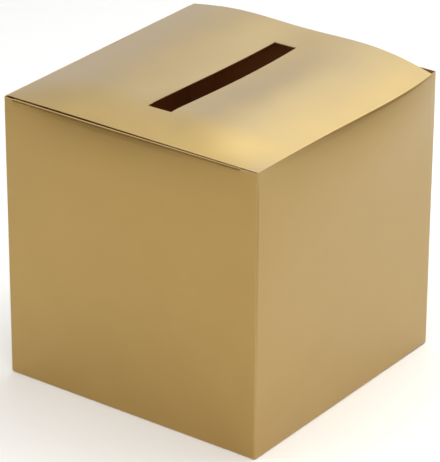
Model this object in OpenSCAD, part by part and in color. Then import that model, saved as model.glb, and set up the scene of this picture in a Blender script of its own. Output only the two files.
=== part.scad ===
// Folding card box: a one-piece carton of gold foil board with a slotted lid.
// Millimetres, +Z up, origin at the middle of the underside.
// The front wall faces -Y, and the lid folds on the right wall (+X).

/* [Box] */
// Outer width, between the left and right walls
body_w = 304.8; // [220:0.1:400]
// Outer depth, between the front and back walls
body_d = 304.8; // [240:0.1:400]
// Height of the closed box at the lid's fold
body_h = 304.8; // [120:0.1:400]

/* [Board] */
// Thickness of the board
board = 0.8; // [0.5:0.1:1.2]
// Outer radius of a creased corner
crease_r = 1.8; // [1.6:0.1:3]
// Width of the flap that glues the tube of walls shut
glue_w = 30; // [15:1:45]

/* [Lid] */
// Space that the lid leaves at each of its cut edges
lid_side_gap = 5; // [3:0.5:12]
// How far the lid has crept to the back at its fold
creep_at_fold = -3.4; // [-4:0.1:4]
// How far the lid has crept to the back at its tuck edge
creep_at_tuck = 0.4; // [-4:0.1:4]
// Height of the arch that the lid springs into
arch_h = 11.6; // [4:0.1:20]
// Height added on both sides of the slot, and taken off along it
arch_shoulder_h = 2.5; // [0:0.1:3]
// Height that moves from the tuck half of the arch to the fold half
arch_lean_h = 1.1; // [0:0.1:2]
// Depth of the lid's front strip, which rises from the wall to the arch
arch_run = 60; // [30:1:90]
// How far the tuck edge has crept up at the back corner
tuck_lift = 4.5; // [0:0.1:6]
// How far the tuck edge is drawn in at the back corner
tuck_draw = 5.3; // [0:0.1:8]

/* [Card slot] */
// Length of the slot, along the lid's fold
slot_l = 204; // [120:1:210]
// Width of the slot
slot_w = 27; // [12:1:60]

/* [Tuck and dust flaps] */
// Depth of the tuck flap
tuck_d = 35; // [20:1:50]
// Angle by which the tuck flap leans in from the wall
tuck_lean = 4; // [3:0.5:8]
// Play between the tuck flap's fold and the left wall
tuck_play = 0.4; // [0.4:0.1:1]
// How far the tuck flap narrows at each end
tuck_taper = 9; // [4:1:20]
// Radius of the tuck flap's corners
tuck_corner_r = 14; // [5:1:18]
// Reach of the dust flaps over the box's mouth
dust_reach = 30; // [25:1:45]
// Distance from the lid's fold to a dust flap
dust_clear_fold = 20; // [18:1:40]
// Distance from the left wall to a dust flap
dust_clear_tuck = 15; // [12:1:30]
// How far a dust flap narrows at each side
dust_taper = 12; // [5:1:20]
// Radius of the dust flaps' corners
dust_corner_r = 8; // [3:1:12]

/* [Snap-lock bottom] */
// Width of the tongue that locks the bottom
tongue_w = 140; // [80:1:150]
// How far the tongue lies on the notched flap
tongue_grip = 24; // [15:1:35]
// Radius of the tongue's corners
tongue_corner_r = 12; // [4:1:14]
// Depth of the notch, past the middle of the box
notch_d = 25; // [15:1:40]
// Play of the tongue in the notch and between the side flaps
notch_play = 2; // [1:0.5:4]
// Length over which the tongue climbs through the notch
tongue_climb = 29; // [20:1:40]
// Length over which the notched flap climbs from the back fold
notched_climb = 50; // [30:1:80]
// Chamfer on the notched flap's outer corners
notched_chamfer = 34; // [10:1:60]
// How far the side flaps narrow at their front edge
side_taper = 22; // [5:1:40]

/* [Hidden] */
// Running gap between the pieces of two panels that move
fold_gap = 0.3;
// Gap at the cut ends of creases and flaps
cut_gap = 0.5;
// How far a cut runs past the solid
overrun = 5;
// Facets of the creases
$fn = 48;
// Steps of the lid's sheet across its fold and along it
lid_steps_x = 36;
lid_steps_y = 20;
// Steps of a flap's rounded corner
corner_steps = 8;
gold = [0.80, 0.66, 0.40];
inner = [0.62, 0.47, 0.30];

// Heights of the folds at the top, from the lid down
lid_fold_z = body_h - board / 2;
tuck_fold_z = lid_fold_z - board - fold_gap;
dust_fold_z = lid_fold_z - board - fold_gap;
left_top_z = body_h - board;
// Levels of the bottom flaps, from the table up
side_level = board;
notched_level = 2 * board;
tongue_level = 3 * board;

// The lid in plan
lid_fold_x = body_w / 2 - board / 2;
lid_end_x = lid_fold_x - board / 2 - fold_gap;
tuck_fold_x = -body_w / 2 + board + tuck_play + board / 2;
lid_tuck_x = tuck_fold_x - board / 2;
lid_half_d = body_d / 2 - lid_side_gap;
function lid_creep(s) = creep_at_tuck + (creep_at_fold - creep_at_tuck) * s;
tuck_l = norm([tuck_draw, 2 * lid_half_d, tuck_lift]);
tuck_tilt = asin(tuck_lift / tuck_l);
tuck_turn = atan(tuck_draw / (2 * lid_half_d));

// Points along a circle, for the rounded corner of a flap
function arc(x, y, r, from, to) =
    [for (i = [0:corner_steps]) let (a = from + (to - from) * i / corner_steps)
        [x + r * cos(a), y + r * sin(a)]];

// A flap seen flat: its fold on the X axis, its free edge rounded at both corners
function flap_outline(x0, x1, reach, taper0, taper1, r) = concat(
    [[x0, 0], [x1, 0]],
    arc(x1 - taper1 - r, reach - r, r, 0, 90),
    arc(x0 + taper0 + r, reach - r, r, 90, 180));

// Turns a piece drawn as the front wall to one of the four sides
module on_side(turns) rotate(90 * turns) children();

// A quarter turn of board round a crease
module crease_section() intersection() {
    difference() {
        circle(r = crease_r);
        circle(r = crease_r - board);
    }
    square(crease_r);
}

// A wall drawn at the front: its sheet, and the upright crease at its right-hand end
module wall(half_length, half_depth, left_end, bottom, top)
    translate([half_length - crease_r, -half_depth + crease_r, bottom]) {
        mirror([1, 0, 0]) translate([0, -crease_r, 0])
            cube([half_length - crease_r - left_end, board, top - bottom]);
        rotate(-90) linear_extrude(dust_fold_z - bottom) crease_section();
    }

// The round top of a wall, which a flap folds about
module fold_bead(x0, x1, half_depth, z)
    translate([x0, -half_depth + board / 2, z])
        rotate([0, 90, 0]) cylinder(r = board / 2, h = x1 - x0);

// A bottom flap drawn at the front: the crease at the wall's foot, from x0 to x1, and the
// board. The profile is [reach, height] along its underside, and the outline is its plan.
module bottom_flap(x0, x1, half_depth, level, profile, outline)
    translate([0, -half_depth + crease_r, level + crease_r]) {
        translate([x0, 0, 0]) rotate([90, 0, 90])
            linear_extrude(x1 - x0) rotate(180) crease_section();
        intersection() {
            translate([-half_depth - overrun, 0, -crease_r]) rotate([90, 0, 90])
                linear_extrude(2 * (half_depth + overrun))
                    polygon(concat(profile, [for (i = [len(profile) - 1:-1:0])
                        [profile[i].x, profile[i].y + board]]));
            translate([0, 0, -crease_r - overrun])
                linear_extrude(tongue_level + board + 2 * overrun) polygon(outline);
        }
    }

foot_half_w = body_w / 2 - crease_r - cut_gap;
foot_half_d = body_d / 2 - crease_r - cut_gap;

module front_wall() color(gold) {
    wall(body_w / 2, body_d / 2, -body_w / 2 + crease_r, crease_r, dust_fold_z);
    fold_bead(-body_w / 2 + dust_clear_tuck, body_w / 2 - dust_clear_fold, body_d / 2, dust_fold_z);
}

module right_wall() color(gold) on_side(1) {
    wall(body_d / 2, body_w / 2, -body_d / 2 + crease_r, side_level + crease_r, lid_fold_z);
    fold_bead(-lid_half_d + creep_at_fold, lid_half_d + creep_at_fold, body_w / 2, lid_fold_z);
}

module back_wall() color(gold) on_side(2) {
    translate([-body_w / 2 + crease_r, -body_d / 2, crease_r])
        cube([body_w - crease_r - cut_gap, board, dust_fold_z - crease_r]);
    fold_bead(-body_w / 2 + dust_clear_fold, body_w / 2 - dust_clear_tuck, body_d / 2, dust_fold_z);
}

module left_wall() color(gold) on_side(3)
    wall(body_d / 2, body_w / 2, -body_d / 2 + board + crease_r, side_level + crease_r, left_top_z);

// The left wall's crease and flap, glued inside the back wall
module glue_flap() color(inner) on_side(3) {
    bottom = side_level + crease_r;
    tall = dust_fold_z - board - bottom;
    translate([-body_d / 2 + board + crease_r, -body_w / 2 + crease_r, bottom]) {
        rotate(180) linear_extrude(tall) crease_section();
        translate([-crease_r, 0, 0]) rotate([90, 0, 90]) linear_extrude(board)
            polygon([[0, 0], [glue_w, glue_w / 4], [glue_w, tall - glue_w / 4], [0, tall]]);
    }
}

// Outer flap of the bottom: its tongue climbs through the notch and locks
module tongue_bottom_flap() color(gold) {
    middle = body_d / 2 - crease_r;
    start = middle - tongue_climb - cut_gap;
    tip = middle + tongue_grip;
    half = tongue_w / 2;
    outline = concat(
        [[-foot_half_w, 0], [foot_half_w, 0], [foot_half_w - notch_play, start], [half, start]],
        arc(half - tongue_corner_r, tip - tongue_corner_r, tongue_corner_r, 0, 90),
        arc(-half + tongue_corner_r, tip - tongue_corner_r, tongue_corner_r, 90, 180),
        [[-half, start], [-foot_half_w + notch_play, start]]);
    bottom_flap(-foot_half_w, foot_half_w, body_d / 2, 0,
        [[0, 0], [start, 0], [start + tongue_climb, tongue_level], [tip, tongue_level]], outline);
}

// Inner flap of the bottom, with the notch that takes the tongue
module notched_bottom_flap() color(gold) on_side(2) {
    middle = body_d / 2 - crease_r;
    reach = middle + notch_d;
    half = tongue_w / 2 + notch_play;
    outline = [[-foot_half_w, 0], [foot_half_w, 0],
        [foot_half_w - notch_play, reach - notched_chamfer],
        [foot_half_w - notch_play - notched_chamfer, reach], [half + notch_d / 4, reach],
        [half, reach - notch_d / 4], [half, middle], [-half, middle],
        [-half, reach - notch_d / 4], [-half - notch_d / 4, reach],
        [-foot_half_w + notch_play + notched_chamfer, reach],
        [-foot_half_w + notch_play, reach - notched_chamfer]];
    bottom_flap(-foot_half_w, foot_half_w, body_d / 2, 0,
        [[0, 0], [notched_climb, notched_level], [reach, notched_level]], outline);
}

// A side flap of the bottom, drawn at the front with its long end at +X
module side_flap() {
    reach = body_w / 2 - crease_r - tongue_w / 2 - notch_play;
    back_end = body_d / 2 - crease_r - notched_climb - notch_play;
    bottom_flap(-foot_half_d, back_end, body_w / 2, side_level, [[0, 0], [reach, 0]],
        [[-foot_half_d, 0], [back_end, 0], [notch_play, reach],
         [-foot_half_d + side_taper, reach]]);
}

module right_bottom_flap() color(gold) on_side(1) side_flap();

module left_bottom_flap() color(gold) on_side(3) mirror([1, 0, 0]) side_flap();

// A dust flap drawn at the front, with the lid's fold at +X
module dust_flap() {
    start = board / 2 + fold_gap;
    translate([0, -body_d / 2 + board / 2 + start, dust_fold_z - board / 2])
        linear_extrude(board)
            polygon(flap_outline(-body_w / 2 + dust_clear_tuck, body_w / 2 - dust_clear_fold,
                                 dust_reach - start, dust_taper, dust_taper, dust_corner_r));
}

module front_dust_flap() color(gold) dust_flap();

module back_dust_flap() color(gold) mirror([0, 1, 0]) dust_flap();

// Place of the lid's sheet, and its height over the flat: s runs from tuck to fold, y from
// front to back
function lid_x(s, y) = lid_tuck_x + (lid_end_x - lid_tuck_x) * s
    + tuck_draw * (1 - s) * y / (2 * lid_half_d);
function lid_rise(s, y) =
    (arch_h * sin(180 * s) + arch_shoulder_h * sin(540 * s) - arch_lean_h * sin(360 * s))
        * sin(min(90, 90 * y / arch_run))
    + tuck_lift * (1 - s) * y / (2 * lid_half_d);

// The lid is one curved sheet, with the card slot cut through it
module lid() color(gold) difference() {
    rows = [for (i = [0:lid_steps_x]) for (j = [0:lid_steps_y])
        let (s = i / lid_steps_x, y = 2 * lid_half_d * pow(j / lid_steps_y, 2 - j / lid_steps_y))
            [lid_x(s, y), y - lid_half_d + lid_creep(s), body_h - board + lid_rise(s, y)]];
    n = len(rows);
    w = lid_steps_y + 1;
    last = lid_steps_x * w;
    polyhedron(
        points = concat(rows, [for (p = rows) p + [0, 0, board]]),
        faces = concat(
            [for (i = [0:lid_steps_x - 1]) for (j = [0:lid_steps_y - 1])
                let (a = i * w + j) each [[a, a + w, a + w + 1], [a, a + w + 1, a + 1]]],
            [for (i = [0:lid_steps_x - 1]) for (j = [0:lid_steps_y - 1])
                let (a = n + i * w + j) each [[a, a + w + 1, a + w], [a, a + 1, a + w + 1]]],
            [for (i = [0:lid_steps_x - 1])
                let (a = i * w, b = a + w) each [[a, n + a, n + b], [a, n + b, b]]],
            [for (i = [0:lid_steps_x - 1])
                let (a = i * w + lid_steps_y, b = a + w) each [[a, b, n + b], [a, n + b, n + a]]],
            [for (j = [0:lid_steps_y - 1]) each [[j, j + 1, n + j + 1], [j, n + j + 1, n + j]]],
            [for (j = [0:lid_steps_y - 1]) let (a = last + j)
                each [[a, n + a + 1, a + 1], [a, n + a, n + a + 1]]]));
    translate([(lid_tuck_x + lid_end_x) / 2 - slot_w / 2, lid_creep(1 / 2) - slot_l / 2,
               body_h - board - overrun])
        cube([slot_w, slot_l, arch_h + arch_shoulder_h + tuck_lift + 2 * overrun]);
}

// The tuck flap hangs from the lid's free edge, inside the left wall
module tuck_flap() color(gold)
    translate([tuck_fold_x, -lid_half_d + creep_at_tuck, tuck_fold_z])
    rotate([tuck_tilt, 0, -tuck_turn]) {
        rotate([-90, 0, 0]) cylinder(r = board / 2, h = tuck_l);
        rotate([0, -tuck_lean, 0]) translate([-board / 2, 0, 0]) rotate([90, 0, 90])
            linear_extrude(board) mirror([0, 1])
                polygon(flap_outline(0, tuck_l, tuck_d, tuck_taper, tuck_taper, tuck_corner_r));
    }

front_wall();
right_wall();
back_wall();
left_wall();
glue_flap();
tongue_bottom_flap();
right_bottom_flap();
notched_bottom_flap();
left_bottom_flap();
front_dust_flap();
back_dust_flap();
lid();
tuck_flap();
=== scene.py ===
import math

import bmesh
import bpy
from mathutils import Matrix, Vector


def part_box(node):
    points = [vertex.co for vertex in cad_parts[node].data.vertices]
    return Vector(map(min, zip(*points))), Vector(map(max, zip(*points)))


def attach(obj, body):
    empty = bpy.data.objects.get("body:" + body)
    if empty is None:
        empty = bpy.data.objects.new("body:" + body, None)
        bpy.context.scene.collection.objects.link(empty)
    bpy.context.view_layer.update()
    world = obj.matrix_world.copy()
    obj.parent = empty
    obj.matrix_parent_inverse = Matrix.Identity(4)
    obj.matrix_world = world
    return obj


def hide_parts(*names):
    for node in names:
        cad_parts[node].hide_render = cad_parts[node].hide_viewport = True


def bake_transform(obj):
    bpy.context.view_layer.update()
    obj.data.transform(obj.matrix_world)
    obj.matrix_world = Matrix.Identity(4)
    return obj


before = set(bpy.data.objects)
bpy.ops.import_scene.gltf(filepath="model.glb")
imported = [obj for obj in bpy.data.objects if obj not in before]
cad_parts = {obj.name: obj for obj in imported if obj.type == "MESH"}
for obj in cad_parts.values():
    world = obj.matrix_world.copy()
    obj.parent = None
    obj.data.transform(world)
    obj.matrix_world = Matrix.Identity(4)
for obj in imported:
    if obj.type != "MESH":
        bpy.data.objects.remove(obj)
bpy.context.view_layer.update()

# Camera
# It stands where the photograph was taken from: to the right of the near corner, a little above
# the box. Its place is a fit to the box's seven visible corners.
photo_height = 462
focal_pixels = 3051.5
azimuth = math.radians(36.19)
elevation = math.radians(25.68)
roll = math.radians(0.23)
distance = 3.0538
aim = Vector((0.0099, -0.0160, 0.1524))

camera_data = bpy.data.cameras.new("photo_camera")
camera_data.sensor_width = 36
camera_data.lens = focal_pixels * camera_data.sensor_width / photo_height
camera = bpy.data.objects.new("photo_camera", camera_data)
turn = (Matrix.Rotation(azimuth, 4, "Z") @ Matrix.Rotation(math.pi / 2 - elevation, 4, "X")
        @ Matrix.Rotation(roll, 4, "Z"))
camera.matrix_world = Matrix.Translation(aim + turn.to_3x3() @ Vector((0, 0, distance))) @ turn
bpy.context.scene.collection.objects.link(camera)
bpy.context.scene.camera = camera
bpy.context.scene.view_settings.view_transform = "Standard"


# Studio
# A pale floor in a surround that is bright overhead, and dimmer and warmer low down at the right
# and in front. Five soft lights stand round the box, and a small warm one stands inside it. The
# foil mirrors the three behind and above the box, and the two in front only fill.
def new_material(name):
    """A material with an empty node tree, and its output."""
    material = bpy.data.materials.new(name)
    material.use_nodes = True
    material.node_tree.nodes.clear()
    output = material.node_tree.nodes.new("ShaderNodeOutputMaterial")
    return material, output


def feed(tree, socket, given):
    """Links another node's output to the socket, or else sets the socket's own value."""
    if isinstance(given, bpy.types.NodeSocket):
        tree.links.new(given, socket)
    else:
        socket.default_value = given


def add_node(tree, kind, **values):
    """A node of the given kind. Values for its sockets are named after them, in small letters."""
    made = tree.nodes.new("ShaderNode" + kind)
    for socket in made.inputs:
        key = socket.name.lower().replace(" ", "_")
        if key in values:
            feed(tree, socket, values[key])
    return made


def maths(tree, operation, *values):
    """What the operation makes of the values, each a number or a socket."""
    made = tree.nodes.new("ShaderNodeMath")
    made.operation = operation
    for socket, given in zip(made.inputs, values):
        feed(tree, socket, given)
    return made.outputs[0]


def ramp(tree, value, start, end, low, high, shape="SMOOTHSTEP"):
    """Value brought from start..end to low..high: smooth at both ends, or straight if LINEAR."""
    made = tree.nodes.new("ShaderNodeMapRange")
    made.interpolation_type = shape
    for label, given in (("Value", value), ("From Min", start), ("From Max", end),
                         ("To Min", low), ("To Max", high)):
        feed(tree, made.inputs[label], given)
    return made.outputs["Result"]


def mixed(tree, share, first, second):
    """A colour from the first, where the share is 0, to the second, where it is 1."""
    made = tree.nodes.new("ShaderNodeMix")
    made.data_type = "RGBA"
    for label, given in (("Factor", share), ("A", first), ("B", second)):
        feed(tree, made.inputs[label], given)
    return made.outputs["Result"]


def seen_directly(tree):
    """1 for what the camera, a reflection or a transmission sees, and 0 for diffuse light."""
    path = add_node(tree, "LightPath")
    seen = maths(tree, "MAXIMUM", path.outputs["Is Camera Ray"], path.outputs["Is Glossy Ray"])
    return maths(tree, "MAXIMUM", seen, path.outputs["Is Transmission Ray"])


# The surround is seen and mirrored, but lights nothing.
surround_light = 0.0
surround_seen = 0.84
surround_right = 0.15
surround_front = 0.18
bright_tint = (0.97, 1.0, 1.07, 1)
dim_tint = (1.1, 0.66, 0.36, 1)
# Where the surround changes, as parts of a direction of length 1: x is to the right, -y to the
# front and z up. It dims over right_x and over front_y, from back to front, and brightens again
# from low_edge up to high_edge. Both of these have a value for the start and the end of left_x.
right_x = (0.1, 0.5)
front_y = (-0.4, 0.1)
left_x = (-0.5, 0)
low_edge = (0.35, 0.15)
high_edge = (0.65, 0.4)

world = bpy.data.worlds.new("studio")
bpy.context.scene.world = world
world.use_nodes = True
tree = world.node_tree
tree.nodes.clear()
way = add_node(tree, "SeparateXYZ", vector=add_node(tree, "TexCoord").outputs["Generated"])
glow = ramp(tree, way.outputs["X"], *right_x, surround_seen, surround_right)
glow = ramp(tree, way.outputs["Y"], *front_y, surround_front, glow)
low_sky = ramp(tree, way.outputs["X"], *left_x, *low_edge)
high_sky = ramp(tree, way.outputs["X"], *left_x, *high_edge)
glow = ramp(tree, way.outputs["Z"], low_sky, high_sky, glow, surround_seen)
strength = ramp(tree, seen_directly(tree), 0, 1, surround_light, glow)
dimness = ramp(tree, glow, surround_front, surround_seen, 1, 0)
background = add_node(tree, "Background", strength=strength,
                      color=mixed(tree, dimness, bright_tint, dim_tint))
world_output = tree.nodes.new("ShaderNodeOutputWorld")
tree.links.new(background.outputs[0], world_output.inputs["Surface"])

floor_colour = (0.86, 0.86, 0.86, 1)
floor_seen = 0.13
floor_half = 6

floor_material, floor_output = new_material("studio_floor")
tree = floor_material.node_tree
paint = add_node(tree, "BsdfPrincipled", base_color=floor_colour, roughness=0.9,
                 emission_color=(1, 1, 1, 1),
                 emission_strength=ramp(tree, seen_directly(tree), 0, 1, 0, floor_seen))
tree.links.new(paint.outputs[0], floor_output.inputs["Surface"])

floor_mesh = bpy.data.meshes.new("studio_floor")
floor_mesh.from_pydata([(-floor_half, -floor_half, 0), (floor_half, -floor_half, 0),
                        (floor_half, floor_half, 0), (-floor_half, floor_half, 0)],
                       [], [range(4)])
floor_mesh.materials.append(floor_material)
studio_floor = bpy.data.objects.new("studio_floor", floor_mesh)
bpy.context.scene.collection.objects.link(studio_floor)

light_distance = 2.4


def add_light(name, kind, location, power, colour):
    """A light of that kind, linked to the scene."""
    data = bpy.data.lights.new(name, kind)
    data.energy = power
    data.color = colour
    light = bpy.data.objects.new(name, data)
    light.location = location
    bpy.context.scene.collection.objects.link(light)
    return light


def softbox(name, direction, size, power, colour, mirrored=True):
    """A square area light that faces the box from that direction. Foil mirrors it, unless it is a
    fill that isn't mirrored."""
    towards = Vector(direction).normalized()
    light = add_light(name, "AREA", aim + towards * light_distance, power, colour)
    light.data.size = size
    light.rotation_euler = towards.to_track_quat("Z", "Y").to_euler()
    light.visible_glossy = mirrored


# Each has its direction from the box, its size in metres, its power and its colour.
softbox("back_softbox", (-0.12, 0.74, 0.95), 2.0, 12, (0.85, 1.0, 1.15))
softbox("back_right_softbox", (0.45, 0.65, 0.9), 2.0, 24, (1.08, 1.0, 0.82))
softbox("overhead_softbox", (0, 0.05, 1), 2.0, 40, (0.94, 1.0, 1.04))
softbox("front_right_softbox", (0.5, -0.8, 0.8), 1.6, 24, (1.12, 0.98, 0.82), mirrored=False)
softbox("front_left_softbox", (-0.6, -0.6, 0.8), 1.6, 9, (1.10, 0.98, 0.84), mirrored=False)

# The small light inside the box is seen by neither the camera nor the foil.
inside_light = add_light("inside_light", "POINT", (-0.01, -0.02, 0.17), 0.09, (1.05, 0.44, 0.08))
inside_light.data.shadow_soft_size = 0.03
inside_light.visible_camera = False
inside_light.visible_glossy = False

# Walls
# Four walls of one creased blank of board: gold foil laminated on brown paperboard, die-cut flat
# and folded round into a tube. Every panel below is drawn flat, as it is cut, and then folded.
mm = 0.001
board = 0.8 * mm
crease = 1.8 * mm
half_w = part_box("right_wall")[1].x
half_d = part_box("back_wall")[1].y
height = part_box("right_wall")[1].z
crease_length = math.pi / 2 * crease
crease_steps = 8
guard = 0.4 * mm
wear_reach = 1.2 * mm
slice_tolerance = 1e-7
foil_side, brown_side, edge_side = 0, 1, 2


def cuts(low, high, step, *exact):
    """Places from low to high, about a step apart, together with the exact ones."""
    count = max(1, round((high - low) / step))
    return sorted({low + (high - low) * i / count for i in range(count + 1)} | set(exact))


def arc_cuts(start, length):
    """Places where a crease is cut, with one more close by at each end, so that it alone rounds."""
    turns = [start + length * i / crease_steps for i in range(crease_steps + 1)]
    return [start - guard, *turns, start + length + guard]


def turned(point, quarters):
    """A point drawn at the front, turned with its panel to one of the four sides."""
    return Matrix.Rotation(math.pi / 2 * quarters, 3, "Z") @ point


def bump(share):
    """0 at both ends of a panel and 1 at about its middle."""
    return math.sin(math.pi * min(1, max(0, share)))


def fade(value, low, high):
    """0 up to low and 1 from high on, smooth in between."""
    t = min(1, max(0, (value - low) / (high - low)))
    return t * t * (3 - 2 * t)


def hill(value, middle, width):
    """1 at the middle and next to nothing from two widths away on."""
    return math.exp(-((value - middle) / width) ** 2)


def board_panel(name, outline, a_cuts, b_cuts, lay, creases=(), hole=None):
    """One panel of board. Its outline is drawn flat: a runs along the panel and b across it. The
    flat piece is sliced at the cuts, and lay(a, b) folds each point to its place on the outer
    face. creases are the fold lines, as ("a" or "b", place), and hole is (low a, low b, high a,
    high b)."""
    flat = bmesh.new()
    flat.faces.new([flat.verts.new((a, b, 0)) for a, b in outline])
    for axis, places in ((Vector((1, 0, 0)), a_cuts), (Vector((0, 1, 0)), b_cuts)):
        for place in places:
            bmesh.ops.bisect_plane(flat, geom=flat.verts[:] + flat.edges[:] + flat.faces[:],
                                   dist=slice_tolerance, plane_co=axis * place,
                                   plane_no=axis)
    if hole:
        inside = [f for f in flat.faces if hole[0] < f.calc_center_median().x < hole[2]
                  and hole[1] < f.calc_center_median().y < hole[3]]
        bmesh.ops.delete(flat, geom=inside, context="FACES")
    bmesh.ops.triangulate(flat, faces=[f for f in flat.faces if len(f.verts) > 4])
    flat.verts.index_update()

    nudge = 0.01 * mm
    outer, inner, places, wear = [], [], [], []
    for v in flat.verts:
        a, b = v.co.x, v.co.y
        point = lay(a, b)
        along = lay(a + nudge, b) - lay(a - nudge, b)
        across = lay(a, b + nudge) - lay(a, b - nudge)
        outer.append(point)
        inner.append(point - along.cross(across).normalized() * board)
        places.append((a, b))
        near = [abs((a if way == "a" else b) - place) for way, place in creases]
        wear.append(hill(min(near, default=1), 0, wear_reach))
    n = len(outer)
    faces, slots, flat_uvs = [], [], []
    for f in flat.faces:
        ring = [v.index for v in f.verts]
        faces += [ring, [i + n for i in reversed(ring)]]
        slots += [foil_side, brown_side]
        flat_uvs += [[places[i] for i in ring], [places[i] for i in reversed(ring)]]
    for edge in flat.edges:
        if len(edge.link_faces) == 1:
            loop = edge.link_loops[0]
            i, j = loop.vert.index, loop.link_loop_next.vert.index
            faces.append([i, i + n, j + n, j])
            slots.append(edge_side)
            far = sum(places[i]) + edge.calc_length()
            flat_uvs.append([(sum(places[i]), 0), (sum(places[i]), board), (far, board), (far, 0)])
    flat.free()

    mesh = bpy.data.meshes.new(name)
    mesh.from_pydata(outer + inner, [], faces)
    mesh.polygons.foreach_set("material_index", slots)
    mesh.polygons.foreach_set("use_smooth", [slot != edge_side for slot in slots])
    rim = {key for face in mesh.polygons if face.material_index == edge_side
           for key in face.edge_keys}
    for edge in mesh.edges:
        edge.use_edge_sharp = edge.key in rim
    uv = mesh.uv_layers.new(name="flat_blank")
    uv.data.foreach_set("uv", [number for face in flat_uvs for place in face for number in place])
    worn = mesh.attributes.new("crease", "FLOAT", "POINT")
    worn.data.foreach_set("value", wear + wear)
    for material in (gold_foil, brown_back, cut_edge):
        mesh.materials.append(material)
    panel = bpy.data.objects.new(name, mesh)
    bpy.context.scene.collection.objects.link(panel)
    return panel


noise_low, noise_high = 0.3, 0.7


def spread(tree, noise, low, high):
    """Noise, most of which lies in that narrow middle range, brought to run from low to high."""
    return ramp(tree, noise, noise_low, noise_high, low, high, "LINEAR")


def paper_grain():
    """A node group with a cloudy tone and a fine fibre. Their sizes are in metres along the flat
    blank, and a stretch below 1 draws them out along it."""
    group = bpy.data.node_groups.new("paper_grain", "ShaderNodeTree")
    for way, labels in (("INPUT", ("Cloud Size", "Fibre Size", "Stretch")),
                        ("OUTPUT", ("Cloud", "Fibre"))):
        for label in labels:
            group.interface.new_socket(label, in_out=way, socket_type="NodeSocketFloat")
    given, put = group.nodes.new("NodeGroupInput"), group.nodes.new("NodeGroupOutput")
    flat_map = add_node(group, "UVMap")
    flat_map.uv_map = "flat_blank"
    along = group.nodes.new("ShaderNodeVectorMath")
    along.operation = "MULTIPLY"
    stretch = add_node(group, "CombineXYZ", x=given.outputs["Stretch"], y=1)
    group.links.new(flat_map.outputs["UV"], along.inputs[0])
    group.links.new(stretch.outputs[0], along.inputs[1])
    for label, size, detail in (("Cloud", "Cloud Size", 2), ("Fibre", "Fibre Size", 3)):
        noise = add_node(group, "TexNoise", vector=along.outputs[0],
                         scale=maths(group, "DIVIDE", 1, given.outputs[size]),
                         detail=detail, roughness=0.5)
        group.links.new(noise.outputs["Fac"], put.inputs[label])
    return group


grain = paper_grain()


def add_grain(tree, cloud_size, fibre_size, stretch=1.0):
    """The board's grain at those sizes: its cloud and its fibre."""
    made = tree.nodes.new("ShaderNodeGroup")
    made.node_tree = grain
    made.inputs["Cloud Size"].default_value = cloud_size
    made.inputs["Fibre Size"].default_value = fibre_size
    made.inputs["Stretch"].default_value = stretch
    return made.outputs["Cloud"], made.outputs["Fibre"]


foil_deep = (0.404, 0.254, 0.058, 1)
foil_light = (0.424, 0.270, 0.064, 1)
foil_rubbed = (0.50, 0.37, 0.17, 1)
crease_dullness = 0.08


def foil_material():
    """Satin gold foil under a clear film. The grain of the board shows through it a little, and
    the foil is duller and paler where it is creased."""
    material, output = new_material("gold_foil")
    tree = material.node_tree
    cloud, fibre = add_grain(tree, cloud_size=0.05, fibre_size=0.0011)
    crease_mark = add_node(tree, "Attribute")
    crease_mark.attribute_name = "crease"
    worn = crease_mark.outputs["Fac"]
    tone = mixed(tree, spread(tree, cloud, 0, 1), foil_deep, foil_light)
    frayed = maths(tree, "MULTIPLY", spread(tree, fibre, 0.1, 0.5), worn)
    colour = mixed(tree, frayed, tone, foil_rubbed)
    dull = maths(tree, "MULTIPLY_ADD", worn, crease_dullness, spread(tree, cloud, 0.36, 0.40))
    tooth = add_node(tree, "Bump", strength=0.25, distance=0.00003, height=fibre)
    foil = add_node(tree, "BsdfPrincipled", base_color=colour, metallic=1.0, roughness=dull,
                    coat_weight=0.9, coat_roughness=0.3, normal=tooth.outputs["Normal"])
    tree.links.new(foil.outputs[0], output.inputs["Surface"])
    return material


brown_deep = (0.27, 0.140, 0.070, 1)
brown_light = (0.32, 0.170, 0.088, 1)
brown_fibre = (0.42, 0.27, 0.17, 1)


def brown_material():
    """The uncoated inner face of the board: brown recycled fibre."""
    material, output = new_material("brown_board_back")
    tree = material.node_tree
    cloud, fibre = add_grain(tree, cloud_size=0.03, fibre_size=0.0009, stretch=0.25)
    tone = mixed(tree, spread(tree, cloud, 0, 1), brown_deep, brown_light)
    colour = mixed(tree, spread(tree, fibre, 0, 0.4), tone, brown_fibre)
    tooth = add_node(tree, "Bump", strength=0.5, distance=0.00006, height=fibre)
    paper = add_node(tree, "BsdfPrincipled", base_color=colour, roughness=0.85,
                     normal=tooth.outputs["Normal"])
    tree.links.new(paper.outputs[0], output.inputs["Surface"])
    return material


core_deep = (0.48, 0.31, 0.17, 1)
core_light = (0.66, 0.48, 0.31, 1)


def edge_material():
    """The die-cut edge, where the pale core of the board shows in thin layers."""
    material, output = new_material("cut_edge")
    tree = material.node_tree
    layers = add_grain(tree, cloud_size=0.004, fibre_size=0.0002, stretch=0.1)[1]
    colour = mixed(tree, spread(tree, layers, 0, 1), core_deep, core_light)
    core = add_node(tree, "BsdfPrincipled", base_color=colour, roughness=0.9)
    tree.links.new(core.outputs[0], output.inputs["Surface"])
    return material


gold_foil = foil_material()
brown_back = brown_material()
cut_edge = edge_material()


def wall_lay(half_length, half_depth, quarters, bow):
    """Folds a wall that is drawn at the front: flat along the front, then round the upright crease
    at its right-hand end. bow(share along the wall, height) is how far it bulges out."""
    bend = half_length - crease

    def lay(a, b):
        turn = min(max(0, a - bend), crease_length) / crease
        x = min(a, bend) + crease * math.sin(turn)
        y = -half_depth + crease * (1 - math.cos(turn))
        return turned(Vector((x, y - bow((a + half_length) / (2 * half_length), b), b)), quarters)
    return lay


wall_step = 9 * mm
low_step = 16 * mm
high_step = 6 * mm
high_zone = 70 * mm


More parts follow.
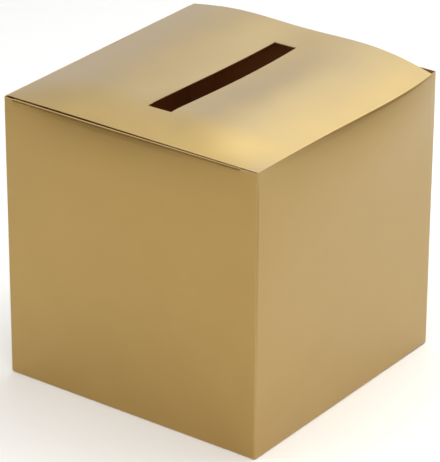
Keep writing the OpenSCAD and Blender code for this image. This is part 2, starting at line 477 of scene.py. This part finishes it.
def make_wall(name, node, half_length, half_depth, quarters, bow, top_edge):
    """A wall and its upright crease, from the crease at its foot up. top_edge is its upper
    outline, from right to left. It is cut more finely near the top, where it bulges most."""
    end, start = top_edge[0][0], top_edge[-1][0]
    bend = half_length - crease
    a_cuts = cuts(start, bend, wall_step, *[a for a, b in top_edge])
    # The back wall ends at the glued seam, before it would bend.
    if end > bend + crease_length / 2:
        a_cuts += arc_cuts(bend, crease_length)
    b_cuts = (cuts(crease, height - high_zone, low_step)
              + cuts(height - high_zone, height, high_step, *[b for a, b in top_edge]))
    wall = board_panel(name, [(start, crease), (end, crease), *top_edge], a_cuts, b_cuts,
                       wall_lay(half_length, half_depth, quarters, bow),
                       [("a", bend + crease_length / 2)])
    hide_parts(node)
    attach(wall, "carton")


swell_depth = 50 * mm
front_swell = 3.8 * mm
right_swell = 4.6 * mm
back_swell = 2.4 * mm
left_swell = 1.5 * mm
swell_flatness = 0.6
front_skew = 0.2
lid_push = 3.6 * mm
lid_push_from, lid_push_to = 0.65 * height, 0.97 * height
creep_to_back = 2.5


def pillow(share, z, out):
    """How far a wall swells out below its top edge, most at the swell's depth: its crease at the
    top springs back, and so turns the upper edge inwards."""
    down = max(0, height - z) / swell_depth
    return out * bump(share) ** swell_flatness * down * math.exp(1 - down)


dust_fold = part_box("front_wall")[1].z
fold_strip = 7 * mm
dust_low = dust_fold - fold_strip
lid_low = height - fold_strip
flap_from, flap_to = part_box("front_dust_flap")[0].x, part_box("front_dust_flap")[1].x
front_from = flap_from - 4 * mm
front_end = half_w - crease + crease_length
wall_start = crease - half_w


def front_bow(share, z):
    """The front wall swells a little more left of its middle."""
    skew = 1 + front_skew * math.cos(math.pi * min(1, max(0, share)))
    return pillow(share, z, front_swell * skew)


make_wall("front_wall_board", "front_wall", half_w, half_d, 0, front_bow,
          [(front_end, dust_fold), (flap_to, dust_fold), (flap_to, dust_low),
           (front_from, dust_low), (front_from, dust_fold), (wall_start, dust_fold)])


def side_creep(y):
    """From 0 to 1: where along the right wall the lid has crept sideways, most near the back."""
    return bump(((y + half_d) / (2 * half_d)) ** creep_to_back)


def right_bow(share, z):
    """The lid has crept to the right at the back, and pushes the wall's top out there."""
    push = lid_push * side_creep((2 * share - 1) * half_d) * fade(z, lid_push_from, lid_push_to)
    return push + pillow(share, z, right_swell)


lid_back = half_d - 8.4 * mm
make_wall("right_wall_board", "right_wall", half_d, half_w, 1, right_bow,
          [(front_end, height), (lid_back, height), (lid_back, lid_low), (wall_start, lid_low)])


def back_bow(share, z):
    """The back wall swells like the front one, a little less."""
    return pillow(share, z, back_swell)


seam_gap = 0.5 * mm
make_wall("back_wall_board", "back_wall", half_w, half_d, 2, back_bow,
          [(half_w - seam_gap, dust_fold), (-flap_from, dust_fold), (-flap_from, dust_low),
           (-flap_to, dust_low), (-flap_to, dust_fold), (-flap_to - seam_gap, height),
           (wall_start, height)])


def left_bow(share, z):
    """The tuck flap presses on the left wall from inside."""
    return pillow(share, z, left_swell)


left_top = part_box("left_wall")[1].z
make_wall("left_wall_board", "left_wall", half_d, half_w, 3, left_bow,
          [(front_end, left_top), (wall_start + board, left_top)])

# Glue flap
# The narrow flap at the free end of the left wall. It turns in behind the back wall and is glued
# to it from inside, which closes the tube of walls with the one seam that the box has.
glue_low, glue_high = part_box("glue_flap")[0].z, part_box("glue_flap")[1].z
glue_width = 30 * mm
glue_slant = glue_width / 4
glue_step = 20 * mm
glue_start = wall_start + board
glue_tip = glue_start - crease_length - glue_width


def glue_lay(a, b):
    """Round the crease at the left wall's end, and then along the inside of the back wall."""
    gone = glue_start - a
    turn = min(gone, crease_length) / crease
    past = max(0, gone - crease_length)
    return turned(Vector((glue_start - crease * math.sin(turn),
                          -half_w + crease * (1 - math.cos(turn)) + past, b)), 3)


glue_flap = board_panel(
    "glue_flap_board",
    [(glue_tip, glue_low + glue_slant), (glue_start - crease_length, glue_low),
     (glue_start, glue_low), (glue_start, glue_high), (glue_start - crease_length, glue_high),
     (glue_tip, glue_high - glue_slant)],
    arc_cuts(glue_start - crease_length, crease_length), cuts(glue_low, glue_high, glue_step),
    glue_lay, [("a", glue_start - crease_length / 2)])
# Its cut edges lie inside the box and are as brown as its back.
for face in glue_flap.data.polygons:
    face.material_index = min(face.material_index, brown_side)
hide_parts("glue_flap")
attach(glue_flap, "carton")

# Snap-lock bottom
# Four flaps of the same blank close the bottom without glue. The tongue of the outer one, under
# the front wall, climbs through the notch of the back one and locks on top of it.
foot = half_w - crease - seam_gap
play = 2 * mm
tongue_half = 70 * mm
tongue_grip = 24 * mm
tongue_climb = 29 * mm
notch_depth = 25 * mm
middle = half_d - crease
flap_step = 20 * mm
reach_step = 5 * mm
corner_steps = 6


def corner(a, b, radius, start):
    """Points round a rounded corner of an outline: a quarter turn about (a, b) from start."""
    angles = [start + math.pi / 2 * i / corner_steps for i in range(corner_steps + 1)]
    return [(a + radius * math.cos(angle), b + radius * math.sin(angle)) for angle in angles]


def make_bottom_flap(name, node, half_depth, quarters, climb, outline):
    """A bottom flap: round the crease at the wall's foot and along the table. outline is (along,
    reach), with its reach counted from the crease, and climb(reach) lifts the flap."""
    def lay(a, b):
        turn = min(b, crease_length) / crease
        past = max(0, b - crease_length)
        y = -half_depth + crease * (1 - math.cos(turn)) + past
        return turned(Vector((-a, y, crease * (1 - math.sin(turn)) + climb(past))), quarters)

    flat = [(outline[0][0], 0), (outline[1][0], 0),
            *[(a, b + crease_length) for a, b in outline[1:] + outline[:1]]]
    reach = max(b for a, b in flat)
    along = [a for a, b in outline]
    flap = board_panel(name, flat, cuts(min(along), max(along), flap_step),
                       arc_cuts(0, crease_length)[1:] + cuts(crease_length, reach, reach_step),
                       lay, [("b", crease_length / 2)])
    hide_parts(node)
    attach(flap, "carton")


side_step = 2.5 * mm
inset_foot = foot - side_step - seam_gap


def side_climb(reach):
    """The side flaps step up from their creases onto the outer flap's edge."""
    return board * fade(reach, 0, side_step)


tongue_start = middle - tongue_climb - seam_gap
tongue_radius = 12 * mm
tongue_tip = middle + tongue_grip
make_bottom_flap(
    "tongue_bottom_flap_board", "tongue_bottom_flap", half_d, 0,
    lambda reach: 3 * board * fade(reach, tongue_start, tongue_start + tongue_climb),
    [(-foot, 0), (foot, 0), (inset_foot, side_step), (inset_foot, tongue_start),
     (tongue_half, tongue_start),
     *corner(tongue_half - tongue_radius, tongue_tip - tongue_radius, tongue_radius, 0),
     *corner(tongue_radius - tongue_half, tongue_tip - tongue_radius, tongue_radius, math.pi / 2),
     (-tongue_half, tongue_start), (-inset_foot, tongue_start), (-inset_foot, side_step)])

notch_half = tongue_half + play
notched_reach = middle + notch_depth
notch_slant = notch_depth / 4
notch_mouth = notch_half + notch_slant
notched_chamfer = 34 * mm
notched_climb = 50 * mm
notched_right = [(inset_foot, side_step), (inset_foot, notched_reach - notched_chamfer),
                 (inset_foot - notched_chamfer, notched_reach), (notch_mouth, notched_reach),
                 (notch_half, notched_reach - notch_slant), (notch_half, middle)]
make_bottom_flap(
    "notched_bottom_flap_board", "notched_bottom_flap", half_d, 2,
    lambda reach: 2 * board * fade(reach, 0, notched_climb),
    [(-foot, 0), (foot, 0), *notched_right, *[(-a, b) for a, b in reversed(notched_right)]])

side_reach = half_w - crease - tongue_half - play
side_taper = 22 * mm
side_back = half_d - crease - notched_climb - play
side_outline = [(-side_back, 0), (foot, 0), (foot - side_taper, side_reach), (-play, side_reach)]
make_bottom_flap("right_bottom_flap_board", "right_bottom_flap", half_w, 1, side_climb,
                 side_outline)
make_bottom_flap("left_bottom_flap_board", "left_bottom_flap", half_w, 3, side_climb,
                 [(-side_outline[i][0], side_outline[i][1]) for i in (1, 0, 3, 2)])

# Dust flaps
# Two flaps, creased to the tops of the front and back walls, which lie under the lid. Each takes
# the top strip of its wall with it as far as the crease.
dust_crease = 0.9 * mm
dust_bend = fold_strip - dust_crease
dust_roll = math.pi / 2 * dust_crease
dust_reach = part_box("front_dust_flap")[1].y + half_d
dust_taper = 12 * mm
dust_radius = 8 * mm
dust_dip = 0.6 * mm
dust_dip_run = 3.5 * mm
shoulder = 1.2 * mm
shoulder_inset = 0.28 * mm
bow_end = 0.8 * dust_reach
dust_step_a, dust_step_b = 12 * mm, 3 * mm


def make_dust_flap(name, node, quarters, bow, low_end, high_end):
    """A dust flap drawn at the front: up the wall, round its crease and in under the lid. The
    wall's bow dies out on it, and the wall turns in a little at the shoulder below the crease."""
    def lay(a, b):
        turn = min(max(0, b - dust_bend), dust_roll) / dust_crease
        past = max(0, b - dust_bend - dust_roll)
        z = (dust_low + min(b, dust_bend) + dust_crease * math.sin(turn)
             - dust_dip * (1 - math.exp(-past / dust_dip_run)))
        out = bow((a + half_w) / (2 * half_w), z)
        out -= shoulder_inset * min(1, max(0, (b - dust_bend) / shoulder + 1)) ** 2
        out *= 1 - fade(past, 0, bow_end)
        return turned(Vector((a, -half_d + dust_crease * (1 - math.cos(turn)) + past - out, z)),
                      quarters)

    tip = dust_bend + dust_roll + dust_reach - dust_crease
    outline = [(low_end, 0), (high_end, 0), (high_end, dust_bend + dust_roll),
               *corner(high_end - dust_taper - dust_radius, tip - dust_radius, dust_radius, 0),
               *corner(low_end + dust_taper + dust_radius, tip - dust_radius, dust_radius,
                       math.pi / 2), (low_end, dust_bend + dust_roll)]
    b_cuts = [0, *cuts(dust_bend - shoulder, dust_bend - guard, guard),
              *arc_cuts(dust_bend, dust_roll), *cuts(dust_bend + dust_roll, tip, dust_step_b)]
    flap = board_panel(name, outline, cuts(low_end, high_end, dust_step_a), b_cuts, lay,
                       [("b", dust_bend + dust_roll / 2)])
    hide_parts(node)
    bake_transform(flap)


make_dust_flap("front_dust_flap_board", "front_dust_flap", 0, front_bow, front_from, flap_to)
make_dust_flap("back_dust_flap_board", "back_dust_flap", 2, back_bow, -flap_to, -flap_from)

# Lid
# The slotted top panel, creased to the top of the right wall. It is a little too long for the box,
# so it springs up into an arch with two humps, stays flat along its front edge, and has crept up
# and inwards at its back left corner.
lid_x0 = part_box("lid")[0].x
lid_length = half_w - lid_x0
lid_half = half_d - 5 * mm
slot_length = 204 * mm
slot_width = 27 * mm
slot_near = lid_half - slot_length / 2
slot_far = slot_near + slot_length

arch_run = 60 * mm
arch_height = 11.6 * mm
arch_humps = 2.5 * mm
arch_lean = 1.1 * mm
corner_lift = 4.5 * mm
corner_inset = 5.3 * mm
overhang_left = 1.8 * mm
overhang_loss = 0.8
lid_shift = 0.4 * mm
lid_skew = 3.8 * mm
wave_height = 0.3 * mm
wave_end = 0.55
slot_sag = 2.5 * mm
fold_sag = 1.0 * mm
fold_sag_from = 0.9
slot_end_sag = 1.5 * mm
left_sag = 0.9 * mm
left_sag_from, left_sag_to = 0.2 * lid_half, 1.2 * lid_half
slot_pull = 1.8 * mm
# Middle and width of a sag or a pull, as shares of the lid's length.
slot_right = (0.56, 0.1)
slot_middle = (0.5, 0.2)
slot_left = (0.45, 0.08)


def lid_skin(s, b):
    """A point on top of the lid. s runs from 0 at the tuck fold to 1 at the lid's fold, and b
    from the front edge to the back."""
    # The lid lies a little askew, and its front edge reaches out over the dust flap.
    overhang = overhang_left * (1 - overhang_loss * s) * (1 - fade(b, 0, slot_near))
    y = b - lid_half + lid_shift - lid_skew * s - overhang
    arch = (arch_height * math.sin(math.pi * s) + arch_humps * math.sin(3 * math.pi * s)
            - arch_lean * math.sin(2 * math.pi * s))
    rise = arch * math.sin(min(1, b / arch_run) * math.pi / 2)
    rise += corner_lift * (1 - s) * b / (2 * lid_half)
    # A slight wave along the left half of the front edge.
    if s < wave_end:
        rise += wave_height * bump(s / wave_end) * (1 - fade(b, 0, arch_run))
    # It sags at the slot's right edge, at the fold near the back, at the slot's far end and at
    # the left.
    rise -= slot_sag * hill(s, *slot_right) * bump((b - slot_near) / slot_length)
    rise -= fold_sag * side_creep(y) * fade(s, fold_sag_from, 1)
    rise -= (slot_end_sag * hill(s, *slot_middle) * fade(b, slot_near, slot_far)
             * (1 - fade(b, slot_far, 2 * lid_half)))
    rise -= left_sag * (1 - s) ** 2 * fade(b, left_sag_from, left_sag_to)
    left = lid_x0 + corner_inset * b / (2 * lid_half)
    right = half_w + right_bow((y + half_d) / (2 * half_d), height)
    # The slot's left edge is pulled to the left towards the front.
    pull = slot_pull * hill(s, *slot_left) * (1 - fade(b, slot_near, slot_far))
    return Vector((left + (right - left) * s - pull, y, height + rise))


def eased(start, corner_point, end, share):
    """A rounded crease: from start to end, leaving and meeting them towards the corner point."""
    return start * (1 - share) ** 2 + corner_point * 2 * share * (1 - share) + end * share ** 2


roll_cut = 3 * mm
roll_radius = 0.5 * mm
roll_growth = 1.6 * mm
roll_above = 0.35
roll_below = 1.5
lid_flat = lid_length - roll_cut
lid_wall = lid_flat + roll_cut
lid_end = lid_wall + fold_strip


def lid_lay(a, b):
    """Over the arch to the fold, round its crease, which is wider towards the back, and a little
    way down the right wall. The crease is sharp above and runs out slowly below."""
    top = lid_skin(1, b)
    radius = roll_radius + roll_growth * side_creep(top.y)
    last = 1 - roll_above * radius / lid_length
    if a <= lid_flat:
        return lid_skin(last * a / lid_flat, b)
    share_along = (top.y + half_d) / (2 * half_d)
    z = top.z - roll_below * radius
    if a >= lid_wall:
        z += (lid_low - z) * (a - lid_wall) / fold_strip
        return Vector((half_w + right_bow(share_along, z), top.y, z))
    wall_point = Vector((half_w + right_bow(share_along, z), top.y, z))
    return eased(lid_skin(last, b), top, wall_point, (a - lid_flat) / roll_cut)


tuck_strip = 4 * mm
lid_step_a, lid_step_b = 6 * mm, 7 * mm
slot_from = (lid_length - slot_width) / 2
lid = board_panel(
    "lid_board",
    [(tuck_strip, 0), (lid_end, 0), (lid_end, 2 * lid_half), (tuck_strip, 2 * lid_half)],
    cuts(tuck_strip, lid_flat, lid_step_a, slot_from, slot_from + slot_width)
    + arc_cuts(lid_flat, roll_cut) + [lid_end],
    cuts(0, 2 * lid_half, lid_step_b, slot_near, slot_far), lid_lay,
    [("a", lid_flat + roll_cut / 2)],
    hole=(slot_from, slot_near, slot_from + slot_width, slot_far))
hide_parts("lid")
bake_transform(lid)

# Tuck flap
# The flap on the lid's free edge. It slides in behind the left wall and holds the lid down, and
# its ends are cut at a slant, with round corners, so that it finds its way in.
tuck_radius = 1.6 * mm
tuck_depth = 35 * mm
tuck_taper = 9 * mm
tuck_corner = 14 * mm
tuck_lean = math.radians(4)
tuck_bend = tuck_strip - tuck_radius
tuck_step_a, tuck_step_b = 8 * mm, 7 * mm
tuck_down = Vector((math.sin(tuck_lean), 0, -math.cos(tuck_lean)))


def tuck_lay(a, b):
    """From a strip of the lid round the crease and down inside the left wall."""
    edge = tuck_radius / lid_length
    last = tuck_strip / lid_length
    if b <= tuck_bend:
        return lid_skin(last + (edge - last) * b / tuck_bend, a)
    fold = lid_skin(0, a)
    gone = b - tuck_bend
    if gone >= roll_cut:
        return fold + tuck_down * (tuck_radius + gone - roll_cut)
    return eased(lid_skin(edge, a), fold, fold + tuck_down * tuck_radius, gone / roll_cut)


tuck_tip = tuck_bend + roll_cut + tuck_depth - tuck_radius
tuck_far = 2 * lid_half - tuck_taper - tuck_corner
tuck_flap = board_panel(
    "tuck_flap_board",
    [(0, 0), (2 * lid_half, 0), (2 * lid_half, tuck_bend + roll_cut),
     *corner(tuck_far, tuck_tip - tuck_corner, tuck_corner, 0),
     *corner(tuck_taper + tuck_corner, tuck_tip - tuck_corner, tuck_corner, math.pi / 2),
     (0, tuck_bend + roll_cut)],
    cuts(0, 2 * lid_half, tuck_step_a),
    arc_cuts(tuck_bend, roll_cut) + cuts(tuck_bend + roll_cut, tuck_tip, tuck_step_b), tuck_lay,
    [("b", tuck_bend + roll_cut / 2)])
fold_line = lid_skin(0, 2 * lid_half) - lid_skin(0, 0)
fold_middle = (lid_skin(0, 2 * lid_half) + lid_skin(0, 0)) / 2
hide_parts("tuck_flap")
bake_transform(tuck_flap)
